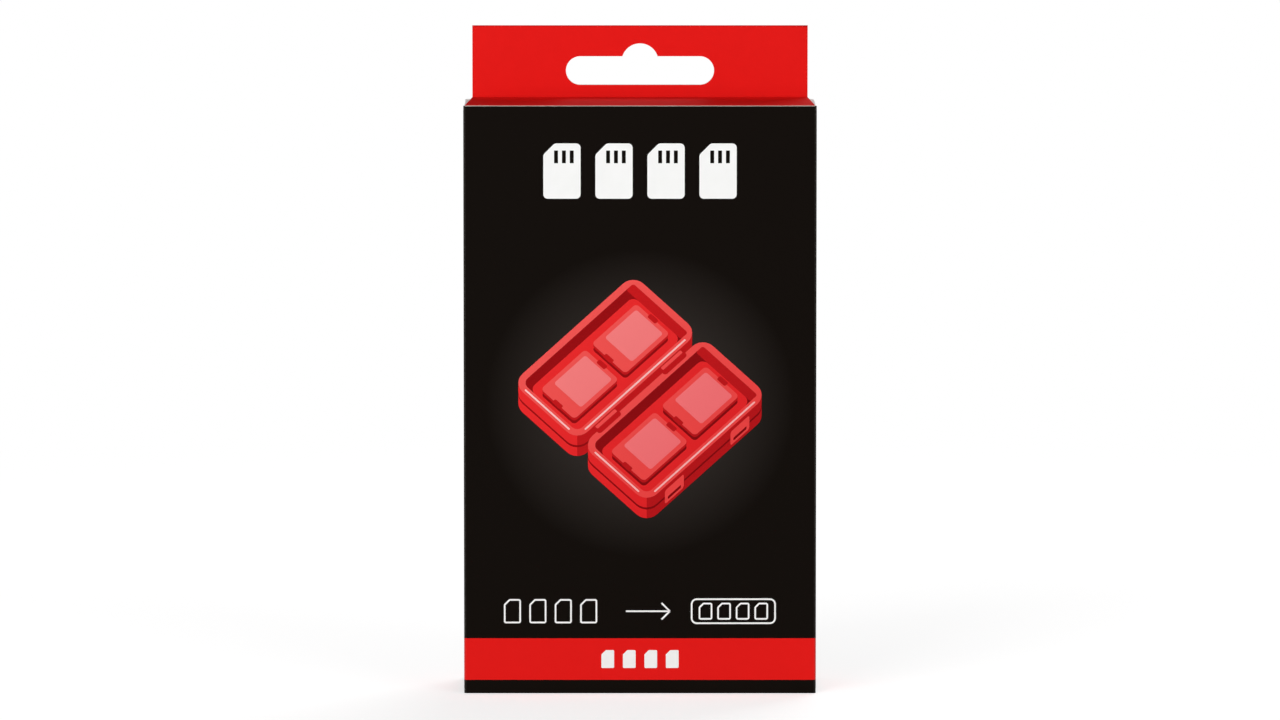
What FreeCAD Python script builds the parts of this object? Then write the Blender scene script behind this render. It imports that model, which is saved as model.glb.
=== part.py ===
import FreeCAD, Part
import math
import os
import Sketcher

# Hanging retail carton: a slim upright box folded from one sheet of board, closed at both ends by
# tucked flaps, with a double header above the back wall and a hang slot cut through the header.
# It is packed and closed, so board and contents are one solid.
#
# Frame: millimetres, +Z up, origin in the middle of the base. The printed front faces -Y,
# and the back wall, which carries the header, faces +Y.

SIZES = {
    # The closed box, over the board
    "carton_width": 72.0,
    "carton_height": 120.6,
    "carton_depth": 24.0,
    # The board and how it folds
    "board_thickness": 0.45,
    "fold_radius": 0.6,
    "seam_setback": 0.8,
    # The tucked lid and base flap
    "flap_inset": 0.3,
    "tuck_gap": 0.15,
    "slit_length": 5.0,
    "slit_width": 0.25,
    # The header, two plies of board folded over at the top
    "header_height": 14.8,
    "header_inset": 1.5,
    "header_top_radius": 0.4,
    "header_foot_radius": 0.3,
    # The hang slot through the header
    "slot_width": 30.5,
    "slot_height": 5.9,
    "slot_rise": 2.55,
    "bump_radius": 3.8,
    "bump_height": 2.65,
    # How far a cutter runs past the faces that it opens
    "cutter_overshoot": 1.0,
}

NODE = "hanging_carton"
ORIGIN_POINT = (-1, 1)
X_AXIS_LINE, Y_AXIS_LINE = -1, -2
START, END, CENTRE = 1, 2, 3


def make_sheet(doc):
    """The driving dimensions, one cell each, under the aliases that every expression uses."""
    sheet = doc.addObject("Spreadsheet::Sheet", "sizes")
    for row, (alias, value) in enumerate(SIZES.items(), start=1):
        sheet.set(f"A{row}", alias)
        sheet.set(f"B{row}", str(value))
        sheet.setAlias(f"B{row}", alias)
    doc.recompute()
    return sheet


# Places that several features share, written from the sheet's cells.
# In a section across the box "across" is X and "deep" is Y; "high" is Z.
FRONT = "-sizes.carton_depth / 2"
FRONT_INSIDE = "-sizes.carton_depth / 2 + sizes.board_thickness"
BACK = "sizes.carton_depth / 2"
BACK_INSIDE = "sizes.carton_depth / 2 - sizes.board_thickness"
LEFT = "-sizes.carton_width / 2"
RIGHT = "sizes.carton_width / 2"
RIGHT_INSIDE = "sizes.carton_width / 2 - sizes.board_thickness"
BASE = "0"
TOP = "sizes.carton_height"
SEAM_EDGE = f"{BACK} - sizes.seam_setback"
TUCK_FOLD = f"{FRONT_INSIDE} + sizes.tuck_gap"
LID_CREASE = f"{TUCK_FOLD} + sizes.fold_radius"
BACK_WALL_FOLD = "(sizes.carton_width / 2 - sizes.board_thickness - sizes.fold_radius)"
LID_SIDE = "(sizes.carton_width / 2 - sizes.flap_inset)"
BASE_FLAP_SIDE = f"({BACK_WALL_FOLD} - sizes.flap_inset)"
HEADER_SIDE = "(sizes.carton_width / 2 - sizes.header_inset)"
HEADER_FRONT = f"{BACK} - 2 * sizes.board_thickness"
HEADER_TOP = f"{TOP} + sizes.header_height"
TOP_FLOOR = f"{TOP} - sizes.board_thickness"
BASE_FLOOR = "sizes.board_thickness"
TOP_ROOT = f"{TOP_FLOOR} - 2 * sizes.fold_radius"
BASE_ROOT = f"{BASE_FLOOR} + 2 * sizes.fold_radius"


def origin_plane(body, role):
    return next(f for f in body.Origin.OriginFeatures if f.Role == role)


def new_sketch(body, name, role, offset=None):
    """A sketch on one of the body's own planes, moved along that plane's normal by an expression."""
    sketch = body.newObject("Sketcher::SketchObject", name)
    sketch.AttachmentSupport = [(origin_plane(body, role), "")]
    sketch.MapMode = "FlatFace"
    if offset:
        sketch.setExpression("AttachmentOffset.Base.z", offset)
    return sketch


def hold(sketch, kind, geometry, point, expression):
    """Holds a point at a distance from the sketch's origin: kind is DistanceX or DistanceY."""
    value = float(sketch.evalExpression(expression))
    here = (geometry, point)
    if value < 0:
        ends, expression = here + ORIGIN_POINT, f"-({expression})"
    else:
        ends = ORIGIN_POINT + here
    index = sketch.addConstraint(Sketcher.Constraint(kind, *ends, abs(value)))
    sketch.setExpression(f"Constraints[{index}]", expression)


def hold_radius(sketch, arc, expression):
    index = sketch.addConstraint(Sketcher.Constraint("Radius", arc, float(sketch.evalExpression(expression))))
    sketch.setExpression(f"Constraints[{index}]", expression)


def join(sketch, first, second, kind="Coincident"):
    """Joins the end of one edge to the start of the next, sharply or, with Tangent, smoothly."""
    sketch.addConstraint(Sketcher.Constraint(kind, first, END, second, START))


def arc_between(centre, radius, start, sweep):
    """An arc drawn from the angle start through sweep, counter-clockwise. Angles are in radians."""
    circle = Part.Circle(FreeCAD.Vector(*centre, 0), FreeCAD.Vector(0, 0, 1), radius)
    return Part.ArcOfCircle(circle, start, start + sweep)


def line_between(start, end):
    return Part.LineSegment(FreeCAD.Vector(*start, 0), FreeCAD.Vector(*end, 0))


def draw_outline(sketch, edges):
    """A closed outline of edges along the sketch's two axes.

    Each edge is (axis, place, corner): the axis that it crosses, where it crosses it, and the cell
    that holds the radius of the corner to the next edge, or None where that corner is sharp.
    """
    count = len(edges)
    values = [float(sketch.evalExpression(place)) for _, place, _ in edges]
    corners = []
    for i, (axis, _, _) in enumerate(edges):
        here, there = values[i], values[(i + 1) % count]
        corners.append((here, there) if axis == "x" else (there, here))

    lines = []
    for i in range(count):
        lines.append(sketch.addGeometry(line_between(corners[i - 1], corners[i]), False))
    for line, (axis, place, _), value in zip(lines, edges, values):
        straight = "Vertical" if axis == "x" else "Horizontal"
        sketch.addConstraint(Sketcher.Constraint(straight, line))
        if value == 0:
            sketch.addConstraint(Sketcher.Constraint("PointOnObject", line, START, X_AXIS_LINE))
        else:
            hold(sketch, "DistanceX" if axis == "x" else "DistanceY", line, START, place)
    for i, (_, _, corner) in enumerate(edges):
        before, after = lines[i], lines[(i + 1) % count]
        if corner is None:
            join(sketch, before, after)
            continue
        radius = float(sketch.evalExpression(f"sizes.{corner}"))
        round_corner(sketch, before, after, corners[i - 1], corners[i], corners[(i + 1) % count], radius)
        hold_radius(sketch, sketch.GeometryCount - 1, f"sizes.{corner}")


def round_corner(sketch, before, after, came_from, corner, goes_to, radius):
    """Draws the arc of a rounded corner and joins it smoothly to the two lines that meet there."""
    way_in = FreeCAD.Vector(*corner, 0) - FreeCAD.Vector(*came_from, 0)
    way_out = FreeCAD.Vector(*goes_to, 0) - FreeCAD.Vector(*corner, 0)
    way_in.normalize()
    way_out.normalize()
    centre = FreeCAD.Vector(*corner, 0) + (way_out - way_in) * radius
    left_turn = way_in.cross(way_out).z > 0
    first = centre - way_out * radius
    last = centre + way_in * radius
    begin, finish = (first, last) if left_turn else (last, first)
    start = math.atan2(begin.y - centre.y, begin.x - centre.x)
    arc = sketch.addGeometry(arc_between((centre.x, centre.y), radius, start, math.pi / 2), False)
    met_first, met_last = (START, END) if left_turn else (END, START)
    sketch.addConstraint(Sketcher.Constraint("Tangent", before, END, arc, met_first))
    sketch.addConstraint(Sketcher.Constraint("Tangent", arc, met_last, after, START))


def draw_polygon(sketch, places):
    """A closed outline of straight edges: each corner is held at its own pair of expressions."""
    points = [[float(sketch.evalExpression(e)) for e in place] for place in places]
    ring = list(zip(points, points[1:] + points[:1]))
    lines = [sketch.addGeometry(line_between(a, b), False) for a, b in ring]
    for line, following, (across, along) in zip(lines, lines[1:] + lines[:1], places):
        join(sketch, line, following)
        hold(sketch, "DistanceX", line, START, across)
        hold(sketch, "DistanceY", line, START, along)


def add_pad(doc, body, sketch, name, length, symmetric=False):
    """Material on a sketch: its length is an expression, split to both sides if symmetric."""
    pad = body.newObject("PartDesign::Pad", name)
    pad.Profile = sketch
    pad.SideType = "Symmetric" if symmetric else "One side"
    pad.setExpression("Length", length)
    doc.recompute()
    return pad


def add_pocket(doc, body, sketch, name, depth=None, upwards=False):
    """A cut from a sketch against its normal, or along it if upwards; right through with no depth."""
    solid_before = body.Shape.Volume
    pocket = body.newObject("PartDesign::Pocket", name)
    pocket.Profile = sketch
    pocket.Reversed = upwards
    if depth:
        pocket.setExpression("Length", depth)
    else:
        pocket.Type = "ThroughAll"
    doc.recompute()
    if not body.Shape.Volume < solid_before:
        raise RuntimeError(f"{name} cut nothing")
    return pocket


def add_sleeve(doc, body):
    """The four walls: three creased corners, and a seam where the right wall laps the glue flap."""
    sketch = new_sketch(body, "sleeve_section", "XY_Plane")
    draw_outline(
        sketch,
        [
            ("y", FRONT, "fold_radius"),
            ("x", RIGHT, None),
            ("y", SEAM_EDGE, None),
            ("x", RIGHT_INSIDE, "fold_radius"),
            ("y", BACK, "fold_radius"),
            ("x", LEFT, "fold_radius"),
        ],
    )
    add_pad(doc, body, sketch, "sleeve", TOP)


def add_flap_seats(doc, body):
    """The side walls and the back wall end one board short, where the flaps fold in over them."""
    past = "sizes.cutter_overshoot"
    for name, level, upwards in (("lid_seat", TOP, False), ("base_seat", None, True)):
        sketch = new_sketch(body, f"{name}_outline", "XY_Plane", level)
        draw_outline(
            sketch,
            [
                ("y", FRONT_INSIDE, None),
                ("x", f"{RIGHT} + {past}", None),
                ("y", f"{BACK} + {past}", None),
                ("x", f"{LEFT} - {past}", None),
            ],
        )
        add_pocket(doc, body, sketch, name, "sizes.board_thickness", upwards)


def draw_relief(sketch, side, end):
    """The sliver outside a dust flap's fold: side is 1 right or -1 left, end is 1 top or -1 base."""
    past, radius = "sizes.cutter_overshoot", "sizes.fold_radius"
    floor = TOP_FLOOR if end > 0 else BASE_FLOOR
    sign = "" if side > 0 else "-"
    up = "+" if end > 0 else "-"
    down = "-" if end > 0 else "+"
    centre_x = f"{sign}(sizes.carton_width / 2 - {radius})"
    centre_z = f"{floor} {down} {radius}"
    outer_x = f"{sign}(sizes.carton_width / 2 + {past})"
    outer_z = f"{floor} {up} {past}"
    x, z, far_x, far_z, r = (
        float(sketch.evalExpression(e)) for e in (centre_x, centre_z, outer_x, outer_z, radius)
    )
    quarter = math.pi / 2
    begins = {(1, 1): 0, (-1, 1): 1, (-1, -1): 2, (1, -1): 3}[side, end] * quarter
    arc = sketch.addGeometry(arc_between((x, z), r, begins, quarter), False)
    at_wall, at_floor = (START, END) if side == end else (END, START)
    corners = [(x + side * r, z), (far_x, z), (far_x, far_z), (x, far_z), (x, z + end * r)]
    lines = [
        sketch.addGeometry(line_between(a, b), False) for a, b in zip(corners[:-1], corners[1:])
    ]
    out, along, back, home = lines
    for line, straight in zip(lines, ("Horizontal", "Vertical", "Horizontal", "Vertical")):
        sketch.addConstraint(Sketcher.Constraint(straight, line))
    for first, second in zip(lines[:-1], lines[1:]):
        join(sketch, first, second)
    sketch.addConstraint(Sketcher.Constraint("Coincident", arc, at_wall, out, START))
    sketch.addConstraint(Sketcher.Constraint("Coincident", arc, at_floor, home, END))
    sketch.addConstraint(Sketcher.Constraint("Horizontal", arc, CENTRE, arc, at_wall))
    sketch.addConstraint(Sketcher.Constraint("Vertical", arc, CENTRE, arc, at_floor))
    hold_radius(sketch, arc, radius)
    hold(sketch, "DistanceX", arc, CENTRE, centre_x)
    hold(sketch, "DistanceY", arc, CENTRE, centre_z)
    hold(sketch, "DistanceX", out, END, outer_x)
    hold(sketch, "DistanceY", along, END, outer_z)


def add_dust_flap_folds(doc, body):
    """The rounded folds at the ends of the side walls, where the dust flaps turn in under the lid."""
    sketch = new_sketch(body, "dust_flap_reliefs", "XZ_Plane", f"-({FRONT_INSIDE})")
    for side in (1, -1):
        for end in (1, -1):
            draw_relief(sketch, side, end)
    add_pocket(doc, body, sketch, "dust_flap_folds", "sizes.carton_depth - 2 * sizes.board_thickness")


def add_lid(doc, body):
    """The lid: one board thick, hinged at the header's foot and tucked in behind the front wall."""
    sketch = new_sketch(body, "lid_section", "YZ_Plane")
    draw_outline(
        sketch,
        [
            ("y", TOP_ROOT, None),
            ("x", BACK_INSIDE, None),
            ("y", TOP, "fold_radius"),
            ("x", TUCK_FOLD, None),
        ],
    )
    add_pad(doc, body, sketch, "lid", f"2 * {LID_SIDE}", symmetric=True)


def add_base_flap(doc, body):
    """The base flap: narrower than the back wall that it folds from, and tucked in behind the front."""
    sketch = new_sketch(body, "base_flap_section", "YZ_Plane")
    draw_outline(
        sketch,
        [
            ("y", BASE, "fold_radius"),
            ("x", BACK, None),
            ("y", BASE_ROOT, None),
            ("x", TUCK_FOLD, "fold_radius"),
        ],
    )
    add_pad(doc, body, sketch, "base_flap", f"2 * {BASE_FLAP_SIDE}", symmetric=True)


def add_lid_taper(doc, body):
    """The lid's sides run in from the tuck fold to the header's foot, which is a little narrower."""
    sketch = new_sketch(body, "lid_taper_outline", "XY_Plane", TOP)
    outside = "(sizes.carton_width / 2 + sizes.cutter_overshoot)"
    for sign in ("", "-"):
        places = [
            (f"{sign}{LID_SIDE}", LID_CREASE),
            (f"{sign}{outside}", LID_CREASE),
            (f"{sign}{outside}", BACK_INSIDE),
            (f"{sign}{HEADER_SIDE}", BACK_INSIDE),
        ]
        draw_polygon(sketch, places)
    add_pocket(doc, body, sketch, "lid_taper", "sizes.board_thickness")


def add_slit_locks(doc, body):
    """Short slits in from the ends of both tuck folds, which catch on the dust flaps' edges."""
    outer = "(sizes.carton_width / 2 + sizes.cutter_overshoot)"
    for name, level, flap_side in (("lid_slits", TOP, LID_SIDE), ("base_flap_slits", None, BASE_FLAP_SIDE)):
        sketch = new_sketch(body, f"{name}_outline", "XY_Plane", level)
        inner = f"({flap_side} - sizes.slit_length)"
        for sign in ("", "-"):
            draw_outline(
                sketch,
                [
                    ("y", LID_CREASE, None),
                    ("x", f"{sign}{outer}", None),
                    ("y", f"{LID_CREASE} + sizes.slit_width", None),
                    ("x", f"{sign}{inner}", None),
                ],
            )
        add_pocket(doc, body, sketch, name, "sizes.board_thickness", upwards=level is None)


def add_header(doc, body):
    """The header: the back wall runs up, folds over at the top and comes down to the lid."""
    sketch = new_sketch(body, "header_section", "YZ_Plane")
    draw_outline(
        sketch,
        [
            ("y", TOP_ROOT, None),
            ("x", BACK, "header_top_radius"),
            ("y", HEADER_TOP, "header_top_radius"),
            ("x", HEADER_FRONT, "header_foot_radius"),
            ("y", TOP, None),
            ("x", f"{HEADER_FRONT} - 2 * sizes.header_foot_radius", None),
        ],
    )
    add_pad(doc, body, sketch, "header", f"2 * {HEADER_SIDE}", symmetric=True)


def add_hang_slot(doc, body):
    """The hang slot: round ends, and a bump in the middle that centres the box on a peg."""
    sketch = new_sketch(body, "hang_slot_outline", "XZ_Plane")
    low = f"{TOP} + sizes.slot_rise"
    high = f"{low} + sizes.slot_height"
    end_centre = "(sizes.slot_width - sizes.slot_height) / 2"
    bump_centre = f"{high} + sizes.bump_height - sizes.bump_radius"
    z_low, z_high, x_end, z_bump = (
        float(sketch.evalExpression(e)) for e in (low, high, end_centre, bump_centre)
    )
    bump = float(sketch.evalExpression("sizes.bump_radius"))
    end_radius = (z_high - z_low) / 2
    z_middle = (z_low + z_high) / 2
    bump_tilt = math.asin((z_high - z_bump) / bump)
    x_bump = bump * math.cos(bump_tilt)
    quarter = math.pi / 2

    floor = sketch.addGeometry(line_between((-x_end, z_low), (x_end, z_low)), False)
    right_end = sketch.addGeometry(arc_between((x_end, z_middle), end_radius, -quarter, math.pi), False)
    right_roof = sketch.addGeometry(line_between((x_end, z_high), (x_bump, z_high)), False)
    arch = sketch.addGeometry(arc_between((0, z_bump), bump, bump_tilt, math.pi - 2 * bump_tilt), False)
    left_roof = sketch.addGeometry(line_between((-x_bump, z_high), (-x_end, z_high)), False)
    left_end = sketch.addGeometry(arc_between((-x_end, z_middle), end_radius, quarter, math.pi), False)

    for line in (floor, right_roof, left_roof):
        sketch.addConstraint(Sketcher.Constraint("Horizontal", line))
    join(sketch, floor, right_end, "Tangent")
    join(sketch, right_end, right_roof, "Tangent")
    join(sketch, right_roof, arch)
    join(sketch, arch, left_roof)
    join(sketch, left_roof, left_end, "Tangent")
    join(sketch, left_end, floor, "Tangent")
    hold(sketch, "DistanceY", floor, START, low)
    hold(sketch, "DistanceY", right_roof, START, high)
    hold(sketch, "DistanceY", left_roof, START, high)
    hold(sketch, "DistanceX", right_end, CENTRE, end_centre)
    hold(sketch, "DistanceX", left_end, CENTRE, f"-({end_centre})")
    sketch.addConstraint(Sketcher.Constraint("PointOnObject", arch, CENTRE, Y_AXIS_LINE))
    hold(sketch, "DistanceY", arch, CENTRE, bump_centre)
    hold_radius(sketch, arch, "sizes.bump_radius")
    add_pocket(doc, body, sketch, "hang_slot")


def check_document(doc):
    """Stops before anything is written if an object failed or a sketch is left loose."""
    for item in doc.Objects:
        if "Invalid" in item.State or "Error" in item.State:
            raise RuntimeError(f"{item.Label} failed: {item.State}")
        if item.TypeId == "Sketcher::SketchObject" and not item.FullyConstrained:
            raise RuntimeError(f"{item.Label} isn't fully constrained")


def build():
    doc = FreeCAD.newDocument("hanging_carton")
    make_sheet(doc)
    body = doc.addObject("PartDesign::Body", NODE)
    body.Label = NODE
    add_sleeve(doc, body)
    add_flap_seats(doc, body)
    add_dust_flap_folds(doc, body)
    add_lid(doc, body)
    add_lid_taper(doc, body)
    add_base_flap(doc, body)
    add_slit_locks(doc, body)
    add_header(doc, body)
    add_hang_slot(doc, body)
    doc.recompute()
    check_document(doc)

    shape = body.Shape
    if shape.isNull() or not shape.isValid() or len(shape.Solids) != 1:
        raise RuntimeError("the carton isn't one valid solid")
    os.makedirs("parts", exist_ok=True)
    shape.exportStep(f"parts/{body.Label}.step")
    box = shape.BoundBox
    print(f"{body.Label}: {box.XLength:.2f} x {box.YLength:.2f} x {box.ZLength:.2f} mm,", end=" ")
    print(f"{shape.Volume / 1000:.2f} cm3, {len(shape.Faces)} faces")


build()
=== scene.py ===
# %% [markdown]
# A hanging retail carton: a slim upright box of printed board, closed by tucked flaps, with a red
# header and a hang slot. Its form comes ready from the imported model, in metres, standing on z = 0 with
# its front to -Y. What is left for Blender is what a printer and a photographer add: inks, bare cut
# edges, a picture and light.

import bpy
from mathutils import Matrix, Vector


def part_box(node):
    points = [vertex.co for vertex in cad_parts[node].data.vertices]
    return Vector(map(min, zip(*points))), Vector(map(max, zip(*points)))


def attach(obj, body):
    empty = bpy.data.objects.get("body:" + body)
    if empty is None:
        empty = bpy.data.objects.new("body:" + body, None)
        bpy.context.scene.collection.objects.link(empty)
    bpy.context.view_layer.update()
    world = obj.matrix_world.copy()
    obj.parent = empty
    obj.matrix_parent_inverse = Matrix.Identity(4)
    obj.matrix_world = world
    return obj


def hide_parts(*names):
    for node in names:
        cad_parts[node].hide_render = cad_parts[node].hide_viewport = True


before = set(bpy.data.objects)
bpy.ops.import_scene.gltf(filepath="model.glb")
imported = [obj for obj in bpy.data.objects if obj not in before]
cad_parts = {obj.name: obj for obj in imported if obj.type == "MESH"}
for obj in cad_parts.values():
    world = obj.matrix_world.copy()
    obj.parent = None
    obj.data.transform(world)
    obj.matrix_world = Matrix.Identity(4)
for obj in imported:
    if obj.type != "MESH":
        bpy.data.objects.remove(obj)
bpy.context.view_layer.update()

import math

import bmesh
import bpy
from mathutils import Matrix, Vector

MM = 0.001
low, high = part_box("hanging_carton")
print("carton, mm:", [round((b - a) / MM, 2) for a, b in zip(low, high)])

# %% [markdown]
# The print has to line up with the folds. Their places could be typed in as numbers, but then a change
# to the model would leave the print behind. So they are read from the model's own mesh: the front wall
# ends at the highest point of the front face. Only the board's thickness and a few insets, which are
# hard to tell from a mesh, are written down here as the carton was cut. NEAR is how close to a plane a
# point has to lie to count as on it.

# %% Places on the carton, in millimetres
WIDTH = (high[0] - low[0]) / MM
FRONT = low[1] / MM
BACK = high[1] / MM
HEADER_TOP = high[2] / MM
BOARD = 0.45
FOLD_RADIUS = 0.6
FLAP_INSET = 0.3
HEADER_INSET = 1.5
SEAM_SETBACK = 0.8
NEAR = 0.02

cad_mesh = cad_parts["hanging_carton"].data
on_front = [v.co.z for v in cad_mesh.vertices if v.co.y < (FRONT + NEAR) * MM]
TOP = max(on_front) / MM
print(f"walls end at {TOP:.2f} mm, header at {HEADER_TOP:.2f} mm")

# %% [markdown]
# A carton is pictured straight on, so that its walls stay upright and only a thin strip of the lid
# shows. From close by, with a short lens, the walls would lean. So the camera stands two metres off
# with a long lens, at twice the carton's height, and looks down by a few degrees. It is placed by an
# angle and a distance from what it looks at, and the lamps will be placed in the same way.

# %% Camera
AIM_HEIGHT = 68.61
CAMERA_TARGET = Vector((0.0, FRONT, AIM_HEIGHT)) * MM
CAMERA_DISTANCE = 2000 * MM
CAMERA_ELEVATION = 5.945
LENS_MM, SENSOR_MM = 275.65, 36.0
SIGHT_LIMIT = 50.0


def add_object(name, data):
    """Puts a new object into the scene."""
    thing = bpy.data.objects.new(name, data)
    bpy.context.scene.collection.objects.link(thing)
    return thing


def stand_off(thing, target, azimuth, elevation, distance):
    """Stands a thing off from a point and faces it there. Azimuth 0 is in front, 90 is to the right."""
    a, e = math.radians(azimuth), math.radians(elevation)
    away = Vector((math.sin(a) * math.cos(e), -math.cos(a) * math.cos(e), math.sin(e)))
    thing.location = target + away * distance
    thing.rotation_euler = (-away).to_track_quat("-Z", "Y").to_euler()


lens = bpy.data.cameras.new("camera")
lens.lens = LENS_MM
lens.sensor_width = SENSOR_MM
lens.clip_end = SIGHT_LIMIT
camera = add_object("camera", lens)
stand_off(camera, CAMERA_TARGET, 0, CAMERA_ELEVATION, CAMERA_DISTANCE)
bpy.context.scene.camera = camera
print("camera at", [round(c, 3) for c in camera.location])

# %% [markdown]
# Every material is a small tree of nodes. One can be clicked together by hand, but written out it can
# be read and made again. One helper adds a node, sets it up and links what feeds it. Colours are
# written as the sRGB values that a designer picks, and turned linear for the renderer.

# %% Helpers for materials


def linear(code):
    """An sRGB hex colour as linear red, green, blue and alpha."""
    channels = [int(code[i : i + 2], 16) / 255 for i in (1, 3, 5)]
    return [c / 12.92 if c <= 0.04045 else ((c + 0.055) / 1.055) ** 2.4 for c in channels] + [1.0]


def add_node(tree, kind, inputs=None, **settings):
    """Adds a node. inputs maps a socket to a value, to an output, or to a node for its first output."""
    node = tree.nodes.new(kind)
    for name, value in settings.items():
        setattr(node, name, value)
    for key, value in (inputs or {}).items():
        if isinstance(value, bpy.types.Node):
            value = next(output for output in value.outputs if output.enabled)
        if isinstance(value, bpy.types.NodeSocket):
            tree.links.new(value, node.inputs[key])
        else:
            node.inputs[key].default_value = value
    return node


def new_material(name):
    """An empty node material, and the Object coordinates that patterns are laid on."""
    material = bpy.data.materials.new(name)
    material.use_nodes = True
    tree = material.node_tree
    tree.nodes.clear()
    return material, tree, add_node(tree, "ShaderNodeTexCoord").outputs["Object"]


print("sRGB mid grey in linear light:", round(linear("#808080")[0], 3))

# %% [markdown]
# The carton is coated folding boxboard, offset printed and sealed with a matt varnish. To the eye that
# is an even colour with hardly any sheen and no mirror image. Close up, the ink lies in a faint mottle,
# and the fibres of the sheet raise the varnish a little. An image could show this at one distance;
# noise with a size in millimetres holds at any. Real fibres are a few hundredths of a millimetre wide,
# so they are drawn about ten times coarser here, or they wouldn't show at all. Varnish has an IOR of
# about 1.5, but its full gloss would turn the black grey in a white studio, so the specular level is
# matched well down.

# %% Ink under a matt varnish
MOTTLE_MM = 3.0
FIBRE_MM = 0.35
FIBRE_HEIGHT_MM, FIBRE_STRENGTH = 0.02, 0.25
VARNISH_IOR = 1.5
VARNISH_ROUGHNESS, VARNISH_SPECULAR = 0.8, 0.012
DENSE_INK_ROUGHNESS, DENSE_INK_SPECULAR = 0.6, 0.035
SHEEN_VARIATION = 0.05


def start_ink(name):
    """A new ink on board: its material, the Object coordinates and the mottle that it lies in."""
    material, tree, place = new_material(name)
    grain = {"Vector": place, "Scale": 1 / (MOTTLE_MM * MM), "Detail": 4.0}
    return material, tree, place, add_node(tree, "ShaderNodeTexNoise", grain)


def varnish_ink(tree, place, mottle, colour, dense=False):
    """Puts the varnish on a colour. A dense ink lies thicker and keeps a little of its own gloss."""
    roughness = DENSE_INK_ROUGHNESS if dense else VARNISH_ROUGHNESS
    grain = {"Vector": place, "Scale": 1 / (FIBRE_MM * MM), "Detail": 3.0}
    fibre = add_node(tree, "ShaderNodeTexNoise", grain)
    raised = {"Height": fibre, "Strength": FIBRE_STRENGTH, "Distance": FIBRE_HEIGHT_MM * MM}
    limits = {"To Min": roughness - SHEEN_VARIATION, "To Max": roughness + SHEEN_VARIATION}
    surface = {
        "Base Color": colour,
        "Roughness": add_node(tree, "ShaderNodeMapRange", {"Value": mottle, **limits}),
        "Normal": add_node(tree, "ShaderNodeBump", raised),
        "IOR": VARNISH_IOR,
        "Specular IOR Level": DENSE_INK_SPECULAR if dense else VARNISH_SPECULAR,
    }
    shader = add_node(tree, "ShaderNodeBsdfPrincipled", surface)
    add_node(tree, "ShaderNodeOutputMaterial", {"Surface": shader})


print(f"ink mottle {MOTTLE_MM} mm, fibres {FIBRE_MM} mm")

# %% [markdown]
# Behind the picture the black is printed lighter, as a soft round glow on the front wall. A lamp could
# make one too, but on the carton it is ink, so it is mixed into the black: full near its middle, gone
# further out, and nowhere but on the front.

# %% Glow in the black
GLOW_INK = "#282320"
GLOW_X, GLOW_Z = 0.0, 59.8
GLOW_FULL_TO, GLOW_GONE_AT = 17.0, 31.5


def add_glow(tree, place, colour):
    """Fades the lighter ink into a colour round the middle of the glow."""
    axes = add_node(tree, "ShaderNodeSeparateXYZ", {"Vector": place})
    upright = {"X": axes.outputs["X"], "Y": axes.outputs["Z"], "Z": 0.0}
    point = add_node(tree, "ShaderNodeCombineXYZ", upright)
    middle = (GLOW_X * MM, GLOW_Z * MM, 0)
    reach = add_node(tree, "ShaderNodeVectorMath", {0: point, 1: middle}, operation="DISTANCE")
    limits = {"From Min": GLOW_FULL_TO * MM, "From Max": GLOW_GONE_AT * MM, "To Min": 1.0, "To Max": 0.0}
    fade = add_node(tree, "ShaderNodeMapRange", {"Value": reach, **limits})
    near_front = {0: axes.outputs["Y"], 1: (FRONT + FOLD_RADIUS) * MM}
    front_only = add_node(tree, "ShaderNodeMath", near_front, operation="LESS_THAN")
    amount = add_node(tree, "ShaderNodeMath", {0: fade, 1: front_only}, operation="MULTIPLY")
    mixed = {"Factor": amount, "A": colour, "B": linear(GLOW_INK)}
    return add_node(tree, "ShaderNodeMix", mixed, data_type="RGBA")


print(f"glow {2 * GLOW_GONE_AT:.0f} mm across")

# %% [markdown]
# Board is creased and bent along its upright folds, and there an ink breaks up a little and lets the
# pale sheet through. The same pale line also serves as a painted highlight along each fold, where the
# matt varnish would show almost none. A fold could be marked by hand, but coordinates find it too: it is
# where a point lies close to two walls at once. Fine noise breaks the line up, so that it looks cracked
# and not drawn.

# %% Wear and painted highlight along the folds
# The pale line along the folds is part bare sheet through cracked ink, part painted highlight.
FOLD_WEAR_AND_HIGHLIGHT = 0.12
WEAR_AND_HIGHLIGHT_FULL_TO, WEAR_AND_HIGHLIGHT_GONE_AT = 0.18, 0.48
BREAKUP_MM = 0.6
WEAR_AND_HIGHLIGHT_COLOUR = "#b9b2aa"


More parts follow.
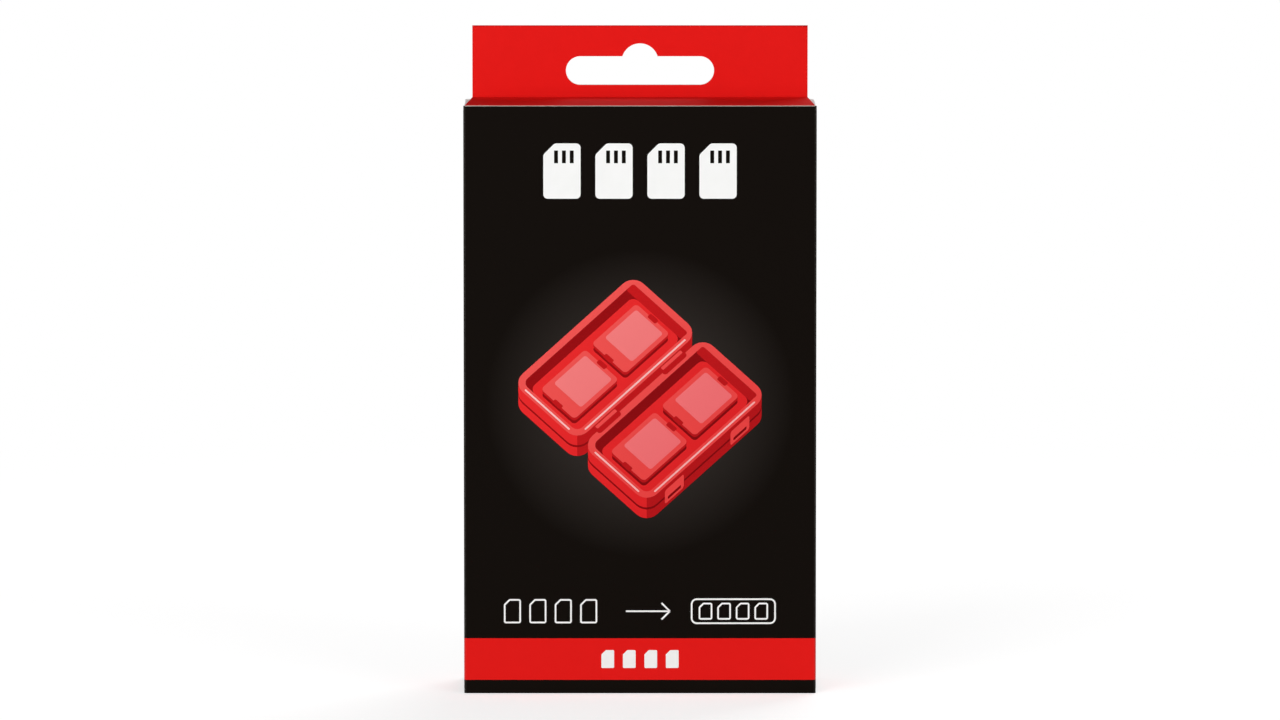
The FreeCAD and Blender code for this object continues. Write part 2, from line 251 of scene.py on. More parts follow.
def add_fold_wear_and_highlight(tree, place, colour):
    """Mixes a pale colour into a colour along the upright folds: bare sheet through the ink, and a
    painted highlight.
    """
    axes = add_node(tree, "ShaderNodeSeparateXYZ", {"Vector": place})
    gaps = []
    for axis, wall in (("X", WIDTH / 2), ("Y", BACK)):
        out = add_node(tree, "ShaderNodeMath", {0: axes.outputs[axis]}, operation="ABSOLUTE")
        gaps.append(add_node(tree, "ShaderNodeMath", {0: wall * MM, 1: out}, operation="SUBTRACT"))
    further = add_node(tree, "ShaderNodeMath", {0: gaps[0], 1: gaps[1]}, operation="MAXIMUM")
    limits = {"From Min": WEAR_AND_HIGHLIGHT_FULL_TO * MM, "From Max": WEAR_AND_HIGHLIGHT_GONE_AT * MM}
    bend = {"Value": further, **limits, "To Min": FOLD_WEAR_AND_HIGHLIGHT, "To Max": 0.0}
    worn_and_lit = add_node(tree, "ShaderNodeMapRange", bend)
    grain = {"Vector": place, "Scale": 1 / (BREAKUP_MM * MM), "Detail": 2.0}
    breakup = add_node(tree, "ShaderNodeTexNoise", grain)
    amount = add_node(tree, "ShaderNodeMath", {0: worn_and_lit, 1: breakup}, operation="MULTIPLY")
    mixed = {"Factor": amount, "A": colour, "B": linear(WEAR_AND_HIGHLIGHT_COLOUR)}
    return add_node(tree, "ShaderNodeMix", mixed, data_type="RGBA")


print(f"folds worn over {WEAR_AND_HIGHLIGHT_GONE_AT} mm")

# %% [markdown]
# Now the inks of the sheet itself. Black and red are the same board under another ink, and on the dust
# flaps, which get no ink, its white coating shows. Each could be one flat colour, but a printed field
# never is, so the mottle runs between two shades. They lie so close together that they are felt more
# than seen.

# %% Black, red and white
COATING, MOTTLED_COATING = "#f7f7f6", "#f1f1ef"


def printed_board(name, ink, mottled_ink, glowing=False, dense=False):
    """Board in one colour, with its mottle and a pale line along its folds: part wear, part painted
    highlight.
    """
    material, tree, place, mottle = start_ink(name)
    shades = {"Factor": mottle, "A": linear(ink), "B": linear(mottled_ink)}
    colour = add_node(tree, "ShaderNodeMix", shades, data_type="RGBA")
    if glowing:
        colour = add_glow(tree, place, colour)
    # Along the folds a pale colour is mixed in: part wear, part painted highlight.
    varnish_ink(tree, place, mottle, add_fold_wear_and_highlight(tree, place, colour), dense)
    return material


black_board = printed_board(
    "offset_black_on_matt_boxboard", "#0a0502", "#0c0704", glowing=True, dense=True
)
red_board = printed_board("offset_red_on_matt_boxboard", "#e31c1a", "#df1b19")
white_board = printed_board("unprinted_coated_boxboard", COATING, MOTTLED_COATING)
print("board:", black_board.name, red_board.name, white_board.name)

# %% [markdown]
# Where the knife went through the sheet, the inside of the board shows: pale, unvarnished fibres,
# pressed in layers and quite rough. The header is two sheets glued face to face, so its cut edges also
# show the joint as a fine line. The line could be modelled as a groove, but there is none to feel: it
# is only darker, so it is mixed in where a point lies on the plane between the two sheets.

# %% Bare board
PLY_MM = 0.12
PLY_HEIGHT_MM, PLY_STRENGTH = 0.03, 0.5
CUT_ROUGHNESS, CUT_SPECULAR = 0.9, 0.2
SHADED_FIBRE, PALE_FIBRE = "#d9d3c6", "#f4f1e9"
JOINT_SHADE = "#8f8778"
JOINT_HALF_WIDTH = 0.05


def add_joint_line(tree, place, colour):
    """Darkens a colour on the plane where the two sheets of the header meet."""
    axes = add_node(tree, "ShaderNodeSeparateXYZ", {"Vector": place})
    plane_between = {0: axes.outputs["Y"], 1: (BACK - BOARD) * MM, 2: JOINT_HALF_WIDTH * MM}
    joint = add_node(tree, "ShaderNodeMath", plane_between, operation="COMPARE")
    above_lid = {0: axes.outputs["Z"], 1: TOP * MM}
    in_header = add_node(tree, "ShaderNodeMath", above_lid, operation="GREATER_THAN")
    line = add_node(tree, "ShaderNodeMath", {0: joint, 1: in_header}, operation="MULTIPLY")
    mixed = {"Factor": line, "A": colour, "B": linear(JOINT_SHADE)}
    return add_node(tree, "ShaderNodeMix", mixed, data_type="RGBA")


def bare_board(name):
    """Board as the knife left it, without ink or varnish."""
    material, tree, place = new_material(name)
    grain = {"Vector": place, "Scale": 1 / (PLY_MM * MM), "Detail": 3.0}
    fibre = add_node(tree, "ShaderNodeTexNoise", grain)
    shades = {"Factor": fibre, "A": linear(SHADED_FIBRE), "B": linear(PALE_FIBRE)}
    colour = add_node(tree, "ShaderNodeMix", shades, data_type="RGBA")
    raised = {"Height": fibre, "Strength": PLY_STRENGTH, "Distance": PLY_HEIGHT_MM * MM}
    surface = {
        "Base Color": add_joint_line(tree, place, colour),
        "Roughness": CUT_ROUGHNESS,
        "Normal": add_node(tree, "ShaderNodeBump", raised),
        "Specular IOR Level": CUT_SPECULAR,
    }
    shader = add_node(tree, "ShaderNodeBsdfPrincipled", surface)
    add_node(tree, "ShaderNodeOutputMaterial", {"Surface": shader})
    return material


cut_board = bare_board("die_cut_boxboard_edge")
print("bare board:", cut_board.name)

# %% [markdown]
# The carton itself. Its form is right in the model already: folds, tucked flaps, seam and slot. What
# the model lacks are borders for the inks. New walls could be built, but a copy of the mesh keeps every
# fold: it is merged into one surface and bisected where the ink changes. More cuts lay a grid over the
# walls, so that they can be bent afterwards. Where a cut leaves points on top of each other, they are
# merged again, and the mesh stays free of slivers.

# %% Carton mesh with borders for the inks
X, Y, Z = range(3)
BAND_LOW, BAND_HIGH = 2.77, 11.36
BARE_RIM = 0.05
GRID = 6.0
MERGE_WITHIN = 0.002


def merge_points(bm):
    """Merges the points of a mesh that lie on top of each other."""
    bmesh.ops.remove_doubles(bm, verts=bm.verts, dist=MERGE_WITHIN * MM)


def cut_across(bm, axis, places, unit=MM):
    """Cuts a whole mesh by planes across one axis, at places that are given in units."""
    normal = Vector((0, 0, 0))
    normal[axis] = 1
    for place in places:
        geometry = bm.verts[:] + bm.edges[:] + bm.faces[:]
        plane = {"plane_co": normal * place * unit, "plane_no": normal}
        bmesh.ops.bisect_plane(bm, geom=geometry, dist=MERGE_WITHIN * unit, **plane)


def steps(start, end, pitch):
    """Evenly spaced places between two ends, as near to the pitch as fits."""
    count = max(1, round((end - start) / pitch))
    return [start + (end - start) * i / count for i in range(1, count)]


carton_bm = bmesh.new()
carton_bm.from_mesh(cad_mesh)
merge_points(carton_bm)
cut_across(carton_bm, Z, [BAND_LOW, BAND_HIGH, TOP - BARE_RIM, TOP])
cut_across(carton_bm, X, steps(-WIDTH / 2, WIDTH / 2, GRID))
cut_across(carton_bm, Z, steps(BAND_HIGH, TOP - BARE_RIM, GRID))
merge_points(carton_bm)
print("carton mesh:", len(carton_bm.faces), "faces")

# %% [markdown]
# A filled carton bellies out by a hair between its folds, and that keeps its wide walls from looking
# drawn with a ruler. A cloth simulation would give the same, but the shape is simple: most in the
# middle, nothing along the edges. So a formula moves the points of the front and the back.

# %% Belly of the front and the back
SWELL = 0.3


def swell(point):
    """How far the front or back stands out at a point, in metres."""
    x = point.x / MM / (WIDTH / 2)
    z = (point.z / MM - TOP / 2) / (TOP / 2)
    if abs(x) >= 1 or abs(z) >= 1:
        return 0.0
    return SWELL * MM * (1 - x * x) * (1 - z * z)


for vert in carton_bm.verts:
    if vert.co.y < (FRONT + NEAR) * MM:
        vert.co.y -= swell(vert.co)
    elif vert.co.y > (BACK - NEAR) * MM:
        vert.co.y += swell(vert.co)
carton_bm.normal_update()
depths = [vert.co.y / MM for vert in carton_bm.verts]
print(f"front and back now reach {min(depths):.2f} and {max(depths):.2f} mm")

# %% [markdown]
# Which face is which? They could be picked one by one, but the next change to the model would shuffle
# them. So each face is asked where it lies and which way it looks. First come the cut edges, as wide as
# the board or, on the header, as two. Above the lid they are the header's sides and the slot's wall.
# Below, they are the front wall's rims, the sides of the lid and the base flap, the slits in them, the
# back wall's shoulders beside the header and the glue seam.

# %% Cut edges
# Where a normal has more than SQUARE_ON along an axis, the face looks that way; under EDGE_ON, aside.
SQUARE_ON = 0.9
EDGE_ON = 0.3
SLIT_MARGIN = 1.0


def middle_of(face):
    """The middle of a face, in millimetres."""
    return face.calc_center_median() / MM


def is_bare(x, y, z, nx, ny, nz):
    """True on the faces that the knife cut, from a face's middle in millimetres and its normal."""
    if z > TOP + NEAR:
        return abs(ny) < EDGE_ON and z < HEADER_TOP - BOARD
    in_front_wall = y < FRONT + BOARD + NEAR
    on_rim = abs(nz) > SQUARE_ON or (ny < -SQUARE_ON and z > TOP - BARE_RIM)
    in_flap = not in_front_wall and (z > TOP - BOARD - NEAR or z < BOARD + NEAR)
    on_flap_side = abs(nx) > SQUARE_ON and abs(x) < WIDTH / 2 - FLAP_INSET / 2
    in_slit = abs(ny) > SQUARE_ON and FRONT + SLIT_MARGIN < y < BACK - SLIT_MARGIN
    at_shoulder = y > BACK - BOARD - NEAR and abs(x) > WIDTH / 2 - HEADER_INSET - NEAR
    at_seam = y < BACK - SEAM_SETBACK + NEAR and x > WIDTH / 2 - BOARD - NEAR
    return (
        (in_front_wall and on_rim)
        or (in_flap and (on_flap_side or in_slit))
        or (at_shoulder and abs(nz) > SQUARE_ON)
        or (at_seam and ny > SQUARE_ON)
    )


cut_faces = {face for face in carton_bm.faces if is_bare(*middle_of(face), *face.normal)}
print("cut faces:", len(cut_faces), "of", len(carton_bm.faces))

# %% [markdown]
# The rest is sorted in the same way. The lid, the header and the band round the foot are red. The folds
# of the dust flaps, a narrow strip beside the lid, are unprinted, and all else is black. One material
# could mix the inks by coordinates, but a border between two faces stays crisp from any distance.

# %% Inks by face
BLACK, RED, WHITE, BARE = range(4)
UPRIGHT = 0.5


def is_unprinted(x, y, z):
    """True on the dust flaps' folds, where they show beside the lid."""
    beside_lid = abs(x) > WIDTH / 2 - HEADER_INSET - NEAR
    between_walls = FRONT + BOARD + NEAR < y < BACK - BOARD
    under_lid = TOP - BOARD - FOLD_RADIUS + NEAR < z < TOP - BOARD + NEAR
    return beside_lid and between_walls and under_lid


def is_red(y, z, nz):
    """True on the header, the lid with its tuck fold, and the band round the foot."""
    behind_front = FRONT + BOARD + NEAR < y < BACK - SEAM_SETBACK
    in_tuck_fold = behind_front and z > TOP - BOARD - FOLD_RADIUS + NEAR
    in_band = abs(nz) < UPRIGHT and BAND_LOW < z < BAND_HIGH
    return z > TOP - NEAR or in_tuck_fold or in_band


def ink_of(face):
    """The finish of one face of the carton."""
    x, y, z = middle_of(face)
    if face in cut_faces:
        return BARE
    if is_unprinted(x, y, z):
        return WHITE
    return RED if is_red(y, z, face.normal.z) else BLACK


counts = [0, 0, 0, 0]
for face in carton_bm.faces:
    face.material_index = ink_of(face)
    counts[face.material_index] += 1
print("faces black, red, white, bare:", counts)

# %% [markdown]
# A finished piece is a mesh object at the origin that rides on the carton's body. Flat shading would
# show the facets of the folds, and smooth shading alone would round the whole box. So the faces are
# smooth, edges over 35 degrees stay sharp, and weighted normals keep the wide walls flat.

# %% The carton in place
SHARP_FROM = math.radians(35)


def mesh_object(bm, name, materials):
    """Turns a bmesh into an object of the scene."""
    mesh = bpy.data.meshes.new(name)
    bm.to_mesh(mesh)
    bm.free()
    for material in materials:
        mesh.materials.append(material)
    return add_object(name, mesh)


def finish_piece(bm, name, materials, smooth=True):
    """Makes a piece of the carton from a bmesh."""
    piece = mesh_object(bm, name, materials)
    if smooth:
        piece.data.shade_smooth()
        piece.data.set_sharp_from_angle(angle=SHARP_FROM)
        flat_walls = piece.modifiers.new("flat walls stay flat", "WEIGHTED_NORMAL")
        flat_walls.keep_sharp = True
    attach(piece, "root")
    return piece


carton = finish_piece(carton_bm, "carton", [black_board, red_board, white_board, cut_board])
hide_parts("hanging_carton")
print("carton:", len(carton.data.polygons), "faces in", len(carton.data.materials), "finishes")

# %% [markdown]
# A bold row of four white memory cards tells at the top what the carton is for. Printed shapes could
# be painted into the black by nodes, but a painted edge softens close up. So each card is cut out flat
# first, in millimetres in the XY plane: a rectangle whose corners are bevelled, one of them clipped.
# The clip leaves two corners that turn by half as much, and a shorter bevel makes them as round.

# %% Memory card, cut out flat
MARK_WIDTH, MARK_HEIGHT, MARK_CORNER, MARK_CLIP = 7.6, 11.3, 0.9, 2.3
CORNER_SEGMENTS, CLIP_SEGMENTS = 6, 4
CLIP_TURN = math.radians(45)


def bevel_corners(bm, verts, setback, segments):
    """Bevels corners of a flat shape and returns the new ones. One segment cuts, more segments round."""
    form = {"segments": segments, "profile": 0.5, "affect": "VERTICES", "material": -1}
    return bmesh.ops.bevel(bm, geom=verts, offset=setback, offset_type="OFFSET", **form)["verts"]


def card_shape(width, height, corner, clip=0.0):
    """A flat card with round corners. clip cuts its left upper corner, as on a memory card."""
    bm = bmesh.new()
    made = bmesh.ops.create_grid(bm, x_segments=1, y_segments=1, size=0.5)
    bmesh.ops.scale(bm, vec=(width, height, 1), verts=made["verts"])
    blunt = []
    if clip:
        sharp = [v for v in bm.verts if v.co.x < 0 and v.co.y > 0]
        blunt = bevel_corners(bm, sharp, clip, 1)
    if corner:
        bevel_corners(bm, [v for v in bm.verts if v not in blunt], corner, CORNER_SEGMENTS)
        bevel_corners(bm, blunt, corner * math.tan(CLIP_TURN / 2), CLIP_SEGMENTS)
    return bm


card = card_shape(MARK_WIDTH, MARK_HEIGHT, MARK_CORNER, MARK_CLIP)
print("card outline:", len(card.verts), "points")

# %% [markdown]
# Three contacts show near the upper edge of each card. They could be black films over the white, but a
# printer leaves the white out there, so that the black below shows through. So a window is cut free by
# four planes and its face is deleted.

# %% Contacts left out of the white
CARD_COUNT = 4
CONTACT_WIDTH, CONTACT_HEIGHT, CONTACT_PITCH = 0.8, 2.6, 1.6
CONTACT_X, CONTACT_Y = 0.4, 2.9


def knock_out(bm, x, y, width, height):
    """Leaves a window in a flat shape, through which the ink below it shows."""
    cut_across(bm, X, (x - width / 2, x + width / 2), unit=1)
    cut_across(bm, Y, (y - height / 2, y + height / 2), unit=1)
    middles = [(face, face.calc_center_median() - Vector((x, y, 0))) for face in bm.faces]
    inside = [face for face, off in middles if abs(off.x) < width / 2 and abs(off.y) < height / 2]
    bmesh.ops.delete(bm, geom=inside, context="FACES")


for i in (-1, 0, 1):
    knock_out(card, CONTACT_X + i * CONTACT_PITCH, CONTACT_Y, CONTACT_WIDTH, CONTACT_HEIGHT)
cards = [card] + [card.copy() for _ in range(CARD_COUNT - 1)]
print(len(cards), "cards with", len(card.faces), "faces each")

# %% [markdown]
# A flat shape becomes print when it is thickened to a film. Offset ink is two thousandths of a
# millimetre thick. A plane without thickness could stand for it, but it would have no sides and no
# back. So it is a closed film, thick enough for the renderer to tell it from the board, and one that is
# printed over another stands a step higher.

# %% Film of ink
INK_STEP = 0.012


def only(kind, geometry):
    """Picks the items of one kind out of what an operator made."""
    return [item for item in geometry if isinstance(item, kind)]


def thicken(shape, height):
    """Makes a flat shape a closed film that stands out by a height in millimetres."""
    made = bmesh.ops.extrude_face_region(shape, geom=shape.faces[:], use_keep_orig=True)
    bmesh.ops.translate(shape, vec=(0, 0, height), verts=only(bmesh.types.BMVert, made["geom"]))


print(f"ink stands out in steps of {INK_STEP} mm")

# %% [markdown]
# All shapes of one ink are stood on the front wall as one piece. A modifier could wrap them round the
# wall's belly, but its formula is at hand: they are cut to a like grid, and their points move out as
# the wall's did. Every film starts one step inside the board, so that no gap shows under it. White ink
# is opaque on the black and as white as the sheet's coating, under the same matt varnish.

# %% White cards on the front wall
MARK_Z, MARK_PITCH = 107.3, 10.6

white_ink = printed_board("offset_white_on_matt_boxboard", COATING, MOTTLED_COATING)


def row(pitch):
    """Places along a row of cards, to both sides of the middle."""
    return [(i - (CARD_COUNT - 1) / 2) * pitch for i in range(CARD_COUNT)]


def at(x, z, turn=0.0):
    """Where a flat shape goes on the front wall: its middle in millimetres and its turn in degrees."""
    return Matrix.Translation((x, z, 0)) @ Matrix.Rotation(math.radians(turn), 4, "Z")


def print_shapes(name, material, shapes):
    """Prints flat shapes on the front wall as one piece. Each comes with its place and its level."""
    film = bmesh.new()
    for shape, place, level in shapes:
        bmesh.ops.transform(shape, matrix=place, verts=shape.verts)
        thicken(shape, INK_STEP * (level + 2))
        scratch = bpy.data.meshes.new("scratch")
        shape.to_mesh(scratch)
        film.from_mesh(scratch)
        bpy.data.meshes.remove(scratch)
        shape.free()
    upright = Matrix.Translation((0, (FRONT + INK_STEP) * MM, 0)) @ Matrix.Rotation(math.pi / 2, 4, "X")
    bmesh.ops.transform(film, matrix=upright @ Matrix.Scale(MM, 4), verts=film.verts)
    cut_across(film, X, steps(-WIDTH / 2, WIDTH / 2, GRID))
    cut_across(film, Z, steps(0, TOP, GRID))
    for vert in film.verts:
        vert.co.y -= swell(vert.co)
    bmesh.ops.recalc_face_normals(film, faces=film.faces[:])
    piece = finish_piece(film, name, [material], smooth=False)
    print(name, "-", len(shapes), "shapes,", len(piece.data.polygons), "faces")


places = [at(x, MARK_Z) for x in row(MARK_PITCH)]
print_shapes("white_card_marks", white_ink, [(card, place, 0) for card, place in zip(cards, places)])

# %% [markdown]
# The red band round the foot carries the same cards once more, small and without their contacts,
# which would fill with ink at this size. The large cards could be scaled down, but their corners would
# get too fine. So the shape function is used again with other sizes.

# %% Small cards on the band
BAND_MARK_Z, BAND_MARK_PITCH = 7.07, 4.4
BAND_MARK = {"width": 2.6, "height": 3.7, "corner": 0.25, "clip": 0.9}

band_marks = [(card_shape(**BAND_MARK), at(x, BAND_MARK_Z), 0) for x in row(BAND_MARK_PITCH)]
print_shapes("white_band_marks", white_ink, band_marks)

# %% [markdown]
# Under the picture, hairlines show the use: four cards, an arrow, and the same cards in their case.
# A curve with a bevel would make a round wire. A printed line is flat and of even width, so a card is
# inset along its edge and its middle taken out, and a straight stroke is a long thin card.

# %% White hairlines
HAIRLINE, LINE_CORNER = 0.34, 0.44
GUIDE_Z = 16.95
LOOSE_X, LOOSE_PITCH, LOOSE_WIDTH, LOOSE_HEIGHT, LOOSE_CLIP = -18.3, 5.2, 3.5, 5.0, 1.1
HELD_X, HELD_PITCH, HELD_WIDTH, HELD_HEIGHT, HELD_CLIP = 19.1, 3.8, 2.8, 3.5, 0.9
CASE_WIDTH, CASE_HEIGHT, CASE_CORNER = 17.4, 5.3, 1.2
ARROW_TIP, ARROW_LENGTH, BARB_LENGTH, BARB_TURN = 6.1, 9.0, 2.4, 45


def outline_only(bm):
    """Leaves only a hairline along a flat shape's edge."""
    inner = bm.faces[:]
    even = {"use_boundary": True, "use_even_offset": True}
    bmesh.ops.inset_region(bm, faces=inner, thickness=HAIRLINE, **even)
    bmesh.ops.delete(bm, geom=inner, context="FACES")
    return bm


def card_line(width, height, clip):
    """A card drawn as a hairline, with corners a little rounder than the line is wide."""
    return outline_only(card_shape(width, height, LINE_CORNER, clip))


def stroke(length):
    """A straight hairline."""
    return card_shape(length, HAIRLINE, 0.0)


case_line = outline_only(card_shape(CASE_WIDTH, CASE_HEIGHT, CASE_CORNER))
guide = [(case_line, at(HELD_X, GUIDE_Z), 0)]
for x in row(LOOSE_PITCH):
    guide.append((card_line(LOOSE_WIDTH, LOOSE_HEIGHT, LOOSE_CLIP), at(LOOSE_X + x, GUIDE_Z), 0))
for x in row(HELD_PITCH):
    guide.append((card_line(HELD_WIDTH, HELD_HEIGHT, HELD_CLIP), at(HELD_X + x, GUIDE_Z), 0))
guide.append((stroke(ARROW_LENGTH), at(ARROW_TIP - ARROW_LENGTH / 2, GUIDE_Z), 0))
back = BARB_LENGTH / 2 * math.cos(math.radians(BARB_TURN))
aside = BARB_LENGTH / 2 * math.sin(math.radians(BARB_TURN))
for side in (-1, 1):
    barb_place = at(ARROW_TIP - back, GUIDE_Z + side * aside, -side * BARB_TURN)
    guide.append((stroke(BARB_LENGTH), barb_place, 0))
print_shapes("white_hairline_guide", white_ink, guide)

# %% [markdown]
# The picture on the front shows what the carton holds: a clear red case for small cards, lying open.
# It could be a small model of its own, but print is flat. So it is drawn as a printer's illustration
# would be, in flat fields of six reds, each a shade lighter towards the upper left, where its light is.

# %% Reds of the picture
LIGHT_FROM, LIGHT_TO = 30, 90


def case_ink(name, darker, lighter):
    """One red of the picture."""
    material, tree, place, mottle = start_ink(name)
    axes = add_node(tree, "ShaderNodeSeparateXYZ", {"Vector": place})
    diagonal = {0: axes.outputs["Z"], 1: axes.outputs["X"]}
    slope = add_node(tree, "ShaderNodeMath", diagonal, operation="SUBTRACT")
    limits = {"From Min": LIGHT_FROM * MM, "From Max": LIGHT_TO * MM}
    shade = add_node(tree, "ShaderNodeMapRange", {"Value": slope, **limits})
    shades = {"Factor": shade, "A": linear(darker), "B": linear(lighter)}
    varnish_ink(tree, place, mottle, add_node(tree, "ShaderNodeMix", shades, data_type="RGBA"))
    return material


REDS = {
    "shade": case_ink("offset_shade_red", "#780b0f", "#960f13"),
    "deep": case_ink("offset_deep_red", "#ad1519", "#c51a1d"),
    "plain": case_ink("offset_plain_red", "#d82225", "#e62a2b"),
    "light": case_ink("offset_light_red", "#e23f3e", "#ec5350"),
    "rose": case_ink("offset_rose", "#e8656a", "#f07e7d"),
    "pink": case_ink("offset_pink", "#f2a6a5", "#fac7c5"),
}
print("reds:", ", ".join(REDS))

# %% [markdown]
# A second camera could project a case into the plane of the print, but a drawing in parallel
# projection needs none: lengths along and across the case run up and down to the right, and heights
# run upwards. A flat shape is laid on a plane of the case by a matrix of two of these directions.

# %% Planes of the picture
PICTURE_MIDDLE = Vector((0.0, 58.5))
PICTURE_SLANT = math.radians(42)
ALONG = Vector((math.cos(PICTURE_SLANT), math.sin(PICTURE_SLANT)))
ACROSS = Vector((math.cos(PICTURE_SLANT), -math.sin(PICTURE_SLANT)))
UP = Vector((0.0, 1.0))
drawn = {red: [] for red in REDS}


def plane(first, second, u, v, up=0.0):
    """Lays a shape in the plane of two directions, with its middle u along, v across and some way up."""
    middle = PICTURE_MIDDLE + ALONG * u + ACROSS * v + UP * up
    columns = [(*first, 0, 0), (*second, 0, 0), (0, 0, 1, 0), (*middle, 0, 1)]
    return Matrix(columns).transposed()


def lying(u, v, up=0.0):
    """Lays a shape down flat, as the case lies."""
    return plane(ALONG, ACROSS, u, v, up)


def draw(red, level, shape, place=None):
    """Adds a shape to the picture in one of the reds."""
    drawn[red].append((shape, place or Matrix.Identity(4), level))


print(f"picture turned {math.degrees(PICTURE_SLANT):.0f} degrees")

# %% [markdown]
# A wall is what shows of a shape's thickness. Its outline could be worked out corner by corner. Instead
# the shape is drawn up by the wall's height, and of the band that this leaves, only what faces the
# viewer is kept: the faces that are turned the same way as the lowest one.

# %% Walls in the picture
WALL = 4.2


def wall_of(shape, place, height, lit_only=False):
    """Turns a flat shape into the walls under it that face the viewer, or only the lit ones."""
    bmesh.ops.transform(shape, matrix=place, verts=shape.verts)
    upper = bmesh.ops.extrude_face_region(shape, geom=shape.faces[:])["geom"]
    bmesh.ops.translate(shape, vec=(0, height, 0), verts=only(bmesh.types.BMVert, upper))
    bmesh.ops.delete(shape, geom=only(bmesh.types.BMFace, upper), context="FACES")
    shape.normal_update()
    lowest = min(shape.faces, key=lambda face: face.calc_center_median().y)
    bottom = min(shape.verts, key=lambda vert: vert.co.y).co.x
    unseen = []
    for face in shape.faces:
        turned_away = face.normal.z * lowest.normal.z <= 0
        in_shade = face.calc_center_median().x > bottom
        if turned_away or (lit_only and in_shade):
            unseen.append(face)
    bmesh.ops.delete(shape, geom=unseen, context="FACES")
    return shape


print(f"case walls drawn {WALL} mm high")

# %% [markdown]
# The cards lie on the floor of the case, each on its shadow and held by a clip at either end. Their
# shading could be a gradient, but at this size flat reds read better: one for the shadow, the edge, the
# face and the label, each printed at a higher level than what it hides.

# %% Cards in the case
CARD_LENGTH, CARD_WIDTH, CARD_CORNER, CARD_THICKNESS = 12.2, 9.2, 0.8, 0.55
CARD_SHADOW, SHADOW_DROP = 0.3, 0.2
LABEL_SHIFT = 0.9
LABEL = {"width": 8.6, "height": 7.4, "corner": 0.5}
CLIP = {"width": 1.0, "height": 2.2, "corner": 0.3}


def card_outline():
    """The outline of a card in the case."""
    return card_shape(CARD_LENGTH, CARD_WIDTH, CARD_CORNER)


def draw_card(u, v, level):
    """Draws a card with its shadow, label and clips."""
    face = WALL + CARD_THICKNESS
    shadow = lying(u - CARD_SHADOW, v + CARD_SHADOW, WALL - SHADOW_DROP)
    draw("shade", level, card_outline(), shadow)
    draw("deep", level + 1, wall_of(card_outline(), lying(u, v, WALL), CARD_THICKNESS))
    draw("light", level + 1, card_outline(), lying(u, v, face))
    draw("rose", level + 2, card_shape(**LABEL), lying(u + LABEL_SHIFT, v, face))
    for end in (-1, 1):
        draw("deep", level + 3, card_shape(**CLIP), lying(u + end * CARD_LENGTH / 2, v, face))


print(f"cards drawn {CARD_LENGTH} by {CARD_WIDTH} mm")

# %% [markdown]
# The case is two shallow trays side by side. Each has an outer wall with a fine seam, and a rim with a
# gleam on it. The wall could be one field, but it goes round a corner: so the whole of it is deep red,
# and the side that the light falls on is printed over it in a plainer one.

# %% Tray walls and rim
TRAY_LENGTH, TRAY_WIDTH, TRAY_CORNER = 33.2, 17.8, 2.8
RIM = 1.4
SEAM_RISE, SEAM_HEIGHT = 1.8, 0.4
GLEAM, GLEAM_CORNER = 0.35, 0.15


def tray_outline():
    """The outline of a tray."""
    return card_shape(TRAY_LENGTH, TRAY_WIDTH, TRAY_CORNER)


def draw_tray_walls(v, level):
    """Draws the outer walls of the tray that lies v across, with their seam."""
    draw("deep", level, wall_of(tray_outline(), lying(0, v), WALL))
    draw("plain", level + 1, wall_of(tray_outline(), lying(0, v), WALL, lit_only=True))
    draw("shade", level + 2, wall_of(tray_outline(), lying(0, v, SEAM_RISE), SEAM_HEIGHT))


def draw_rim(v, level):
    """Draws the rim of the tray that lies v across, with a gleam along its near and its left side."""
    near_rim, left_rim = TRAY_WIDTH / 2 - RIM / 2, RIM / 2 - TRAY_LENGTH / 2
    long_gleam = card_shape(TRAY_LENGTH - 2 * TRAY_CORNER, GLEAM, GLEAM_CORNER)
    short_gleam = card_shape(GLEAM, TRAY_WIDTH - 2 * TRAY_CORNER, GLEAM_CORNER)
    draw("light", level + 1, tray_outline(), lying(0, v, WALL))
    draw("pink", level + 2, long_gleam, lying(0, v + near_rim, WALL))
    draw("pink", level + 2, short_gleam, lying(left_rim, v, WALL))


print(f"trays drawn {TRAY_LENGTH} by {TRAY_WIDTH} mm")

# %% [markdown]
# The floor of a tray is sunken and holds two cards. Its inner walls could be drawn one by one. Here
# they are the strip of shade that stays open when a smaller floor is moved towards the viewer. The near
# tray is printed at higher levels than the far one, which it partly hides.

# %% Tray floors, and both trays
FLOOR_DEPTH = 2.6
FAR_END_CORNER = 0.5
CARD_GAP = 1.8
HINGE_GAP = 1.3
FAR_LEVEL, NEAR_LEVEL = 0, 4


def draw_tray_floor(v, level):
    """Draws the floor of the tray that lies v across, with its cards."""
    length, width, corner = TRAY_LENGTH - 2 * RIM, TRAY_WIDTH - 2 * RIM, TRAY_CORNER - RIM
    set_back = FLOOR_DEPTH / (2 * math.sin(PICTURE_SLANT))
    far_end = card_shape(set_back, width, FAR_END_CORNER)
    floor = card_shape(length - set_back, width - set_back, corner)
    draw("shade", level + 2, card_shape(length, width, corner), lying(0, v, WALL))
    draw("deep", level + 3, far_end, lying(length / 2 - set_back / 2, v, WALL))
    draw("plain", level + 4, floor, lying(-set_back / 2, v + set_back / 2, WALL))
    for side in (-1, 1):
        u = side * (CARD_LENGTH + CARD_GAP) / 2 - set_back / 2
        draw_card(u, v + set_back / 2, level + 5)


for side, level in ((-1, FAR_LEVEL), (1, NEAR_LEVEL)):
    middle = side * (TRAY_WIDTH + HINGE_GAP) / 2
    for draw_part in (draw_tray_walls, draw_rim, draw_tray_floor):
        draw_part(middle, level)
print("shapes drawn:", {red: len(shapes) for red, shapes in drawn.items()})

# %% [markdown]
# Two hinge barrels join the trays, and two latches sit on the near wall. The barrels could be shaded
# round, but at this size a dark field with a light stripe reads as round already. With them the
# drawing is whole, and each red is printed as one piece.

